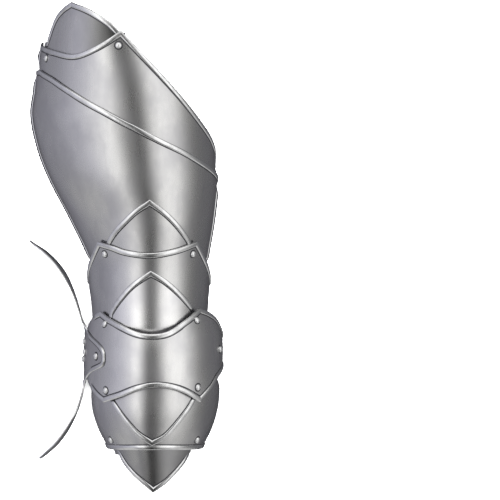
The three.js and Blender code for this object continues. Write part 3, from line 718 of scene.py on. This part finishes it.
class Recipe:
    """A material, or the light of the room, in the making."""

    def __init__(self, owner, place="Object"):
        self.owner = owner
        owner.use_nodes = True
        self.tree = owner.node_tree
        self.tree.nodes.clear()
        self.place = self.node("ShaderNodeTexCoord", output=place)

    def node(self, kind, settings=None, inputs=None, output=0):
        """A node with its settings and the values or links of its sockets: one of its outputs."""
        made = self.tree.nodes.new(kind)
        for name, value in (settings or {}).items():
            if name == "stops":
                set_stops(made.color_ramp, value)
            else:
                setattr(made, name, value)
        for name, value in (inputs or {}).items():
            if isinstance(value, Amount):
                self.tree.links.new(value.socket, made.inputs[name])
            else:
                made.inputs[name].default_value = value
        return Amount(self, made.outputs[output]) if made.outputs else None

    def parts(self, vector):
        """The three parts of a vector."""
        return [self.node("ShaderNodeSeparateXYZ", {}, {0: vector}, axis) for axis in "XYZ"]

    def noise(self, size, detail, roughness, stretch=(1, 1, 1)):
        """Smooth noise from 0 to 1, with size waves in a metre, fewer along an axis of stretch below 1."""
        place = self.node("ShaderNodeVectorMath", {"operation": "MULTIPLY"}, {0: self.place, 1: stretch})
        return self.node("ShaderNodeTexNoise", {}, {
            "Vector": place, "Scale": size, "Detail": detail, "Roughness": roughness,
        }, "Fac")

    def spread(self, amount, low, high):
        """The amount's own range from low to high, as 0 to 1."""
        return self.node("ShaderNodeMapRange", {"interpolation_type": "SMOOTHSTEP"}, {
            "Value": amount, "From Min": low, "From Max": high,
        })

    def blend(self, share, first, second):
        """A colour between two colours."""
        return self.node("ShaderNodeMix", {"data_type": "RGBA"}, {0: share, 6: first, 7: second}, 2)

    def finish(self, colour, roughness, height=None, metallic=1.0):
        """The surface itself. height is its relief, in metres."""
        inputs = {"Base Color": colour, "Metallic": metallic, "Roughness": roughness}
        if height is not None:
            inputs["Normal"] = self.node("ShaderNodeBump", {}, {
                "Strength": 1.0, "Distance": 1.0, "Height": height,
            })
        shader = self.node("ShaderNodeBsdfPrincipled", {}, inputs)
        self.node("ShaderNodeOutputMaterial", {}, {"Surface": shader})
        return self.owner


def opaque(colour, gain=1.0):
    return (colour[0] * gain, colour[1] * gain, colour[2] * gain, 1.0)


def satin_steel(recipe, steel, tone=1.0, shade_span=None):
    """The plates' fronts: steel brushed along the leg, with faint clouds left by the polishing.

    The last argument is where across the leg painted shade starts to darken the steel and where it is full,
    in metres.
    """
    grain = recipe.noise(1500, 3, 0.6, (1, 0.045, 1))
    streaks = recipe.noise(260, 3, 0.55, (1, 0.06, 1))
    clouds = recipe.spread(recipe.noise(34, 3, 0.55, (1, 0.7, 1)), 0.36, 0.68)
    waves = recipe.noise(30, 1, 0.4, (1, 0.35, 1))
    scratches = recipe.spread(recipe.noise(2600, 1, 0.5, (1, 0.012, 1)), 0.68, 0.8)
    # tone scales the steel's colour: above 1 it is painted light, below 1 painted shade
    colour = recipe.blend(clouds * 0.8, opaque(steel.plate, tone), opaque(steel.cloud, tone))
    colour = recipe.blend(streaks * 0.5, colour, opaque(steel.plate, 0.84 * tone))
    colour = recipe.blend(scratches * 0.25, colour, opaque(steel.plate, 1.25 * tone))
    # painted shade: the steel darkens across the leg towards the inner end of the lame at the hip
    if shade_span:
        across = recipe.parts(recipe.place)[0]
        colour = recipe.blend(recipe.spread(across, *shade_span), colour, opaque(steel.plate, 0.2 * tone))
    roughness = steel.satin - 0.05 + clouds * 0.05 + streaks * 0.06 + grain * 0.05
    return recipe.finish(colour, roughness, grain * 0.0000015 + streaks * 0.000004 + waves * 0.0003)


def polished_rim(recipe, steel):
    """The raised edges, rubbed brighter than the plates, with fine scratches."""
    grain = recipe.noise(900, 2, 0.6)
    dull = recipe.spread(recipe.noise(120, 2, 0.6), 0.4, 0.75)
    colour = recipe.blend(dull * 0.6, opaque(steel.rim), opaque(steel.plate, 0.85))
    return recipe.finish(colour, 0.16 + grain * 0.08 + dull * 0.12, grain * 0.000008 + dull * 0.00003)


def dull_steel(recipe, steel):
    """The inner faces: unpolished, darker, with shallow marks of the hammer."""
    hammer = recipe.node("ShaderNodeTexVoronoi", {"feature": "SMOOTH_F1"}, {
        "Vector": recipe.place, "Scale": 95.0, "Smoothness": 0.8,
    }, "Distance")
    stain = recipe.spread(recipe.noise(45, 4, 0.6, (1, 0.8, 1)), 0.4, 0.7)
    speck = recipe.spread(recipe.noise(700, 2, 0.6), 0.55, 0.75)
    colour = recipe.blend(stain * 0.7, opaque(steel.inside), opaque(steel.inside, 0.7))
    colour = recipe.blend(speck * 0.3, colour, opaque(steel.inside, 0.5))
    return recipe.finish(colour, 0.46 + stain * 0.12 + speck * 0.08, hammer * 0.0006 + speck * 0.00001)


def bright_rivet(recipe, steel):
    """The rivets: polished domes with small flats from the hammer."""
    flats = recipe.noise(420, 1, 0.4)
    grime = recipe.spread(recipe.noise(900, 2, 0.6), 0.5, 0.75)
    colour = recipe.blend(grime * 0.4, opaque(steel.rivet), opaque(steel.rivet, 0.55))
    return recipe.finish(colour, 0.34 + grime * 0.14, flats * 0.00012, metallic=0.95)


def dark_seam(recipe, steel):
    """Cut edges, which are dark, and painted shade: the crease beside each raised edge, the outer part of
    each rolled rear edge and the ring round each rivet's head. Dark, with a trace of old oil.
    """
    crumbs = recipe.spread(recipe.noise(800, 3, 0.6), 0.4, 0.7)
    colour = recipe.blend(crumbs * 0.6, opaque(steel.inside, 0.28), opaque(steel.inside, 0.6))
    return recipe.finish(colour, 0.42 + crumbs * 0.2, crumbs * 0.00002)


def pale_floor(look):
    """The floor: pale and matt, with hardly any unevenness."""
    recipe = Recipe(bpy.data.materials.new("pale_floor"))
    cloud = recipe.noise(3, 3, 0.5)
    colour = recipe.blend(cloud * 0.3, opaque(look.floor), opaque(look.floor, 0.985))
    return recipe.finish(colour, 0.85 + cloud * 0.1, metallic=0.0)


FINISHES = {                 # what makes each finish, and for the plates' fronts its tone, painted light above 1 and painted shade below, and the span of its painted shade across the leg
    "satin_steel": (satin_steel,),
    "bright_satin": (satin_steel, 1.28),         # the leaf lame at the knee, a lighter copy: painted light
    "clear_satin": (satin_steel, 1.14),          # the knee cop, a little lighter copy: painted light
    "grey_satin": (satin_steel, 0.72),           # the lame at the shin end, a darker copy: painted shade
    "dimmed_satin": (satin_steel, 1.02, (-0.058, -0.024)),   # the lame at the hip, with painted shade under the peak
    "polished_rim": (polished_rim,),
    "dull_steel": (dull_steel,),
    "bright_rivet": (bright_rivet,),
    "dark_seam": (dark_seam,),
}
PLATE_FINISHES = ("polished_rim", "dull_steel", "dark_seam")     # after that of the plate's front
RIVET_FINISHES = ("bright_rivet", "dark_seam")


def finished(context, name):
    """The finish of that name, made once and then shared."""
    made = bpy.data.materials.get(name)
    if made is None:
        recipe_of, *tone = FINISHES[name]
        made = recipe_of(Recipe(bpy.data.materials.new(name)), context.scene.defence_steel, *tone)
    return made


def plates_of(sizes):
    """Every plate by name."""
    full = (-90, 90)
    made = {}

    def plate(name, body, form, level, turns, top, bottom, **more):
        out = sizes.wall + level * sizes.level
        edges = (edge_of(top, form, out), edge_of(bottom, form, out))
        made[name] = Plate(body, form, level, turns, *edges, **more)

    # its front carries painted shade under the peak
    plate("top_lame", "top_lame", THIGH_FORM, -2, (-74, 7), TOP_LAME_PEAK, TOP_LAME_BASE, top_rim=(-67, 1),
          hinge="top", front="dimmed_satin")
    plate("thigh_main_plate", "thigh", THIGH_FORM, 0, full, THIGH_MAIN_EDGE, THIGH_MAIN_BASE, top_rim=full,
          rear_rims=((-90, 92, 309), (90, 84, 187)), hinge="thigh")
    main = made["thigh_main_plate"].top
    overlapped = [row._replace(along=row.along - HIDDEN_OVERLAP) for row in main.rows]
    plate("thigh_upper_plate", "thigh", THIGH_FORM, -1, full, THIGH_UPPER_EDGE, overlapped, top_rim=full,
          rear_rims=((-90, 312, 341), (90, 178, 206)))
    plate("thigh_leaf_lame", "upper_knee", THIGH_FORM, 1, (-48, 48), THIGH_LEAF_PEAK, THIGH_LEAF_BASE,
          top_rim=(-35, 40), hinge="thigh")
    plate("knee_upper_lame", "upper_knee", THIGH_FORM, 2, full, KNEE_UPPER_EDGE, KNEE_UPPER_BASE,
          top_rim=full, hinge="knee", flared=True)
    # its front is a lighter copy of the steel: painted light
    plate("knee_leaf_lame", "knee", THIGH_FORM, 3, (-53, 53), KNEE_LEAF_PEAK, KNEE_LEAF_BASE,
          top_rim=(-40, 45), hinge="knee", front="bright_satin")
    # its front is a little lighter copy of the steel: painted light
    plate("knee_cop", "knee", KNEE_FORM, 0, full, COP_TOP_EDGE, COP_BOTTOM_EDGE, top_rim=(-62, 90),
          bottom_rim=(-62, 90), front="clear_satin", roll=3.4, roll_turns=(-26, 26))
    plate("shin_leaf_lame", "lower_knee", SHIN_FORM, 1, (-50, 50), SHIN_LEAF_HEAD, SHIN_LEAF_POINT,
          bottom_rim=(-37, 40), hinge="shin", side=1)
    plate("shin_main_lame", "lower_knee", SHIN_FORM, 0, full, SHIN_MAIN_HEAD, SHIN_BOTTOM_EDGE,
          bottom_rim=full, hinge="shin", side=1)
    # its front is a darker copy of the steel: painted shade
    plate("shin_point_lame", "point_lame", SHIN_FORM, -1, (-64, 64), POINT_LAME_HEAD, POINT_LAME_TIP,
          bottom_rim=(-50, 50), hinge="point", side=1, slope=0.5, early=7, sink=0.6, front="grey_satin")
    return made


def build_plates(context, names):
    sizes = Sizes(context.scene)
    plates = plates_of(sizes)
    for name in names:
        plate = plates[name]
        finishes = (plate.front, *PLATE_FINISHES)
        dress(context, plate_shape(plate, sizes), name, plate.body, finishes)


class DEFENCE_OT_top_lame(bpy.types.Operator):
    """Build the pointed lame at the hip"""
    bl_idname = "defence.top_lame"
    bl_label = "Top lame"

    def execute(self, context):
        build_plates(context, ["top_lame"])
        return {"FINISHED"}


class DEFENCE_OT_thigh_plates(bpy.types.Operator):
    """Build the upper and the main thigh plate"""
    bl_idname = "defence.thigh_plates"
    bl_label = "Thigh plates"

    def execute(self, context):
        build_plates(context, ["thigh_upper_plate", "thigh_main_plate"])
        return {"FINISHED"}


class DEFENCE_OT_leaf_lames(bpy.types.Operator):
    """Build the three leaf-shaped lames above and below the knee"""
    bl_idname = "defence.leaf_lames"
    bl_label = "Leaf lames"

    def execute(self, context):
        build_plates(context, ["thigh_leaf_lame", "knee_leaf_lame", "shin_leaf_lame"])
        return {"FINISHED"}


class DEFENCE_OT_knee_plates(bpy.types.Operator):
    """Build the knee cop and the lame above it"""
    bl_idname = "defence.knee_plates"
    bl_label = "Knee plates"

    def execute(self, context):
        build_plates(context, ["knee_upper_lame", "knee_cop"])
        return {"FINISHED"}


class DEFENCE_OT_shin_lames(bpy.types.Operator):
    """Build the lame below the knee and the pointed last lame"""
    bl_idname = "defence.shin_lames"
    bl_label = "Shin lames"

    def execute(self, context):
        build_plates(context, ["shin_main_lame", "shin_point_lame"])
        return {"FINISHED"}


FAN_LOBE_ROWS = 44
FAN_COLUMNS = 30
FAN_SOFTENING = 30           # rounds of smoothing where the lobes leave the knee cop
FAN_SOFT = ((16, 27), (50, 74))      # how far from the knee's middle that starts, and where it ends
FAN_LEAN = ((56, 96), (110, 126))    # the same for the lobes' lean
TAB_END = (16, 26)           # and where the tab's turned edge ends
FAN_REAR_ENDS = (-30, 31)    # along the leg, the tab's rear edge has no raised edge between these
FAN_RIM_SHARE = 0.8          # of the width of the plates' raised edges
TIP_STEP = 3                 # columns from one point of the raised edge to the next, at a lobe's tip
TIP_ROWS = 4                 # the points beside the raised edge lie at least so many rows from a tip


def between(value, starts, ends):
    """0 to 1 over starts, and back to 0 over ends."""
    return smooth_step(value, *starts) * (1 - smooth_step(value, *ends))


def fan_grid(sizes):
    """The fan's middle surface: a row of points for each line across it, from its rear edge forwards."""
    shares = np.linspace(0, 1, FAN_COLUMNS + 1)

    def lobe(rows):
        spread = np.sin(np.linspace(0, 1, FAN_LOBE_ROWS) * math.pi / 2)
        along = rows[0].along + (rows[-1].along - rows[0].along) * spread
        across, rear, front = (curve(rows, "along", name, along) for name in ("across", "rear", "front"))
        height = rear[:, None] + (front - rear)[:, None] * shares
        flat = np.ones_like(height)
        return np.stack([across[:, None] * flat, along[:, None] * flat, height], axis=-1)

    along = np.arange(FAN_TAB[-1].along, FAN_TAB[0].along + 0.1, 1.0)
    turn = curve(FAN_TAB, "along", "turn", along)
    turns = -90 + (turn[:, None] + 90) * shares
    waist = point_on(KNEE_FORM, turns, along[:, None], sizes.fan_out - sizes.wall / 2)
    grid = np.concatenate([lobe(FAN_LOWER_LOBE)[::-1], waist, lobe(FAN_UPPER_LOBE)])
    middle = np.abs(grid[:, 0, 1])
    grid[..., 0] += between(middle, *FAN_LEAN)[:, None] * sizes.fan_lean * (1 - shares)
    soft = between(middle, *FAN_SOFT)[1:-1, None, None]
    for _ in range(FAN_SOFTENING):
        grid[1:-1] += soft * 0.5 * ((grid[:-2] + grid[2:]) / 2 - grid[1:-1])
    return grid


def fan_shape(sizes):
    """The fan as a fine sheet, with a raised edge all round but for the middle of its rear edge."""
    grid = fan_grid(sizes)
    normals = unit(np.cross(np.gradient(grid, axis=1), np.gradient(grid, axis=0)))
    normals[:, 0, 2] = 0
    normals = unit(normals)
    outer = grid + normals * sizes.wall / 2
    inner = grid - normals * sizes.wall / 2
    shape = Shape()
    swap = (1, 0, 2)
    shape.wall([outer.transpose(swap), inner.transpose(swap)], (OUTER, INNER))
    rows, last = len(grid), FAN_COLUMNS
    lower, upper = (int(np.argmin(np.abs(grid[:, 0, 1] - along))) for along in FAN_REAR_ENDS)
    walk = [(j, 0) for j in range(lower, 0, -1)]
    walk += [(0, i) for i in range(0, last, TIP_STEP)]
    walk += [(j, last) for j in range(rows)]
    walk += [(rows - 1, i) for i in range(last - TIP_STEP, 0, -TIP_STEP)]
    walk += [(j, 0) for j in range(rows - 1, upper, -1)]
    path = np.array([outer[j, i] for j, i in walk])
    around = np.array([normals[j, i] for j, i in walk])
    middle = grid[:, FAN_COLUMNS // 2]
    inside = np.array([middle[min(max(j, TIP_ROWS), rows - 1 - TIP_ROWS)] for j, i in walk])
    under = sizes.wall + sizes.tab_roll * (1 - smooth_step(np.abs(path[:, 1]), *TAB_END))
    bead(shape, path, around, inside, sizes.rim_width * FAN_RIM_SHARE, sizes.fan_rim_rise, under,
         np.ones(len(walk)))
    return shape


class DEFENCE_OT_fan(bpy.types.Operator):
    """Build the side wing on the outer side of the knee"""
    bl_idname = "defence.fan"
    bl_label = "Fan plate"

    def execute(self, context):
        shape = fan_shape(Sizes(context.scene))
        fan = dress(context, shape, "fan_plate", "knee", ("satin_steel", *PLATE_FINISHES))
        fan.visible_glossy = False       # its lobes would blacken the flanks of the plates beside them
        return {"FINISHED"}


class DEFENCE_OT_rivets(bpy.types.Operator):
    """Build the hinge rivets, the fan's rivets and the strap's rivet"""
    bl_idname = "defence.rivets"
    bl_label = "Rivets"

    def execute(self, context):
        sizes = Sizes(context.scene)
        rivets = {
            f"{hinge}_hinge_rivet_{side}": (point, normal, depth, sizes.tail_gap)
            for (hinge, side), (point, normal, depth, _) in sizes.hinges.items()
        }
        for name, spot in FAN_RIVETS.items():
            place = (KNEE_FORM, spot.turn, spot.along, sizes.fan_out)
            point, normal = point_on(*place), normal_on(*place)
            rivets[name] = (point, normal, depth_to(KNEE_FORM, 0, point, normal), sizes.fixed_tail_gap)
        place = (KNEE_FORM, STRAP_RIVET.turn, STRAP_RIVET.along, sizes.wall)
        rivets["strap_rivet"] = (point_on(*place), normal_on(*place), sizes.wall, sizes.fixed_tail_gap)
        for name, rivet in rivets.items():
            shape = rivet_shape(sizes, *rivet)
            dress(context, shape, name, BODIES[name], RIVET_FINISHES)
        return {"FINISHED"}


class DEFENCE_OT_pins(bpy.types.Operator):
    """Build the three pins that hold the thigh plates together, out of sight"""
    bl_idname = "defence.pins"
    bl_label = "Hidden pins"

    def execute(self, context):
        sizes = Sizes(context.scene)
        edge = plates_of(sizes)["thigh_main_plate"].top
        inside = -sizes.wall - sizes.fixed_tail_gap
        end = inside - sizes.wall
        profile = [
            (0, end), (PIN_HEAD * 0.9, end), (PIN_HEAD, inside - 0.7 * sizes.wall), (PIN_HEAD, inside),
            (PIN_SHANK, inside), (PIN_SHANK, sizes.nest + PIN_BITE), (0, sizes.nest + PIN_BITE),
        ]
        for name, turn in PIN_TURNS.items():
            place = (THIGH_FORM, turn, float(edge(turn)) - PIN_DROP, sizes.wall - sizes.level)
            shape = turned_shape(profile, point_on(*place), normal_on(*place))
            dress(context, shape, name, "thigh", RIVET_FINISHES)
        return {"FINISHED"}


FILL_PLACE = (0.1, 0.0, 2.4)
FILL_SIZE = 3.0


def add_fill(power):
    """A soft square light over the floor, which neither the camera nor the steel sees."""
    light = bpy.data.lights.new("floor_fill", "AREA")
    light.size = FILL_SIZE
    light.energy = power
    made = bpy.data.objects.new("floor_fill", light)
    bpy.context.scene.collection.objects.link(made)
    made.location = FILL_PLACE
    made.visible_camera = False
    made.visible_glossy = False


class Band(NamedTuple):
    """Light from a direction: degrees from overhead to the inner side, brightness and how far tinted."""
    degrees: float
    brightness: float
    tint: float = 0.0


STUDIO_BANDS = [
    Band(-180, 0.02, 1), Band(-160, 0.08, 1), Band(-145, 0.19, 1), Band(-120, 0.22, 1), Band(-101, 0.27, 1),
    Band(-87, 0.34, 1), Band(-72, 0.41, 0.9), Band(-58, 0.49, 0.7), Band(-46, 0.62, 0.3), Band(-34, 0.86),
    Band(-24, 0.76), Band(-15, 0.3), Band(-6, 0.07), Band(2, 0.06), Band(11, 0.06), Band(20, 0.16),
    Band(29, 0.54), Band(42, 0.76), Band(57, 0.74), Band(69, 0.68), Band(80, 0.42), Band(91, 0.2),
    Band(104, 0.12), Band(120, 0.1, 0.5), Band(140, 0.1, 0.6), Band(160, 0.04, 0.8), Band(180, 0.02, 1),
]
STUDIO_FALL = [              # how far up the leg a direction points, and the bands' share of light there
    (-1.0, 0.1), (-0.8, 0.12), (-0.7, 0.22), (-0.6, 0.5), (-0.5, 0.74), (-0.35, 0.97), (0.0, 1.02),
    (0.2, 1.05), (0.4, 1.0), (0.6, 0.7), (1.0, 0.4),
]


class EndPanel(NamedTuple):
    """A soft panel beyond an end of the leg: the directions where it starts and where it is full."""
    setting: str
    along: tuple                 # how far up the leg they point, or down it below 0
    up: tuple                    # how far overhead


END_PANELS = [EndPanel("head", (0.42, 0.62), (0.05, 0.4)), EndPanel("foot", (-0.3, -0.6), (0.42, 0.24))]


def studio_light(look):
    """The room that the steel reflects: long soft panels on both sides of the leg, with a gap overhead."""
    recipe = Recipe(bpy.data.worlds.new("studio"), "Generated")
    across, along, up = recipe.parts(recipe.place)
    angle = recipe.node("ShaderNodeMath", {"operation": "ARCTAN2"}, {0: across, 1: up})
    stops = []
    for band in STUDIO_BANDS:
        colour = [band.brightness * (1 + (part - 1) * band.tint) for part in look.around]
        stops.append((band.degrees / 360 + 0.5, (*colour, 1.0)))
    bands = recipe.node("ShaderNodeValToRGB", {"stops": stops}, {"Fac": angle * (0.5 / math.pi) + 0.5})
    fall = [(reach / 2 + 0.5, (share, share, share, 1.0)) for reach, share in STUDIO_FALL]
    fall = recipe.node("ShaderNodeValToRGB", {"stops": fall}, {"Fac": along * 0.5 + 0.5})
    lit = recipe.node("ShaderNodeMix", {"data_type": "RGBA", "blend_type": "MULTIPLY"},
                      {0: 1.0, 6: bands, 7: fall}, 2)
    for panel in END_PANELS:
        share = recipe.spread(along, *panel.along) * recipe.spread(up, *panel.up)
        glow = getattr(look, panel.setting)
        lit = recipe.blend(share, lit, (glow, glow, glow, 1.0))
    light = recipe.node("ShaderNodeBackground", {}, {"Color": lit, "Strength": look.light})
    recipe.node("ShaderNodeOutputWorld", {}, {"Surface": light})
    return recipe.owner


FLOOR_REACH = 15.0           # metres from the middle to each side of the floor
FLOOR_DROP = 0.0002          # how far it lies under the plates' rear edges
PICTURE_WIDTH = 0.55         # metres across the picture, at the height of the plates' middles
PICTURE_CENTRE = (0.1352, -0.0023)
MIDDLE_HEIGHT = 0.045
SENSOR = 36.0
FAR_CLIP = 100.0


class DEFENCE_OT_stage(bpy.types.Operator):
    """Set up the floor, the light and the camera"""
    bl_idname = "defence.stage"
    bl_label = "Stage"

    def execute(self, context):
        look = context.scene.defence_stage
        mesh = bpy.data.meshes.new("floor")
        reach = FLOOR_REACH
        mesh.from_pydata(
            [(-reach, -reach, 0), (reach, -reach, 0), (reach, reach, 0), (-reach, reach, 0)], [],
            [(0, 1, 2, 3)])
        mesh.materials.append(pale_floor(look))
        floor = bpy.data.objects.new("floor", mesh)
        context.scene.collection.objects.link(floor)
        floor.location.z = -FLOOR_DROP
        floor.visible_glossy = False

        context.scene.world = studio_light(look)
        add_fill(look.fill)

        camera = bpy.data.objects.new("camera", bpy.data.cameras.new("camera"))
        context.scene.collection.objects.link(camera)
        camera.data.sensor_width = SENSOR
        camera.data.lens = SENSOR * (look.distance - MIDDLE_HEIGHT) / PICTURE_WIDTH
        camera.data.clip_end = FAR_CLIP
        camera.location = (*PICTURE_CENTRE, look.distance)
        context.scene.camera = camera
        context.scene.view_settings.view_transform = "Standard"
        return {"FINISHED"}


class DEFENCE_PT_panel(bpy.types.Panel):
    """Steps that build the thigh and knee defence"""
    bl_label = "Thigh and knee defence"
    bl_idname = "DEFENCE_PT_panel"
    bl_space_type = "VIEW_3D"
    bl_region_type = "UI"
    bl_category = "Defence"

    def draw(self, context):
        for group in SETTINGS:
            box = self.layout.box()
            settings = getattr(context.scene, group)
            for name in setting_names(settings):
                box.prop(settings, name)
        for step in STEPS:
            self.layout.operator(step.bl_idname)


SETTINGS = {
    "defence_sheet": SheetSizes, "defence_rivets": RivetSizes, "defence_steel": SteelFinish,
    "defence_stage": StageLook,
}
STEPS = (
    DEFENCE_OT_top_lame, DEFENCE_OT_thigh_plates, DEFENCE_OT_leaf_lames, DEFENCE_OT_knee_plates,
    DEFENCE_OT_shin_lames, DEFENCE_OT_fan, DEFENCE_OT_rivets, DEFENCE_OT_pins, DEFENCE_OT_stage,
)


def register():
    for made in (*SETTINGS.values(), *STEPS, DEFENCE_PT_panel):
        bpy.utils.register_class(made)
    for name, group in SETTINGS.items():
        setattr(bpy.types.Scene, name, PointerProperty(type=group))


def unregister():
    for name in SETTINGS:
        delattr(bpy.types.Scene, name)
    for made in (DEFENCE_PT_panel, *reversed(STEPS), *reversed(SETTINGS.values())):
        bpy.utils.unregister_class(made)


def main():
    register()
    for step in STEPS:
        group, name = step.bl_idname.split(".")
        getattr(getattr(bpy.ops, group), name)()
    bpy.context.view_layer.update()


if __name__ == "__main__":
    main()
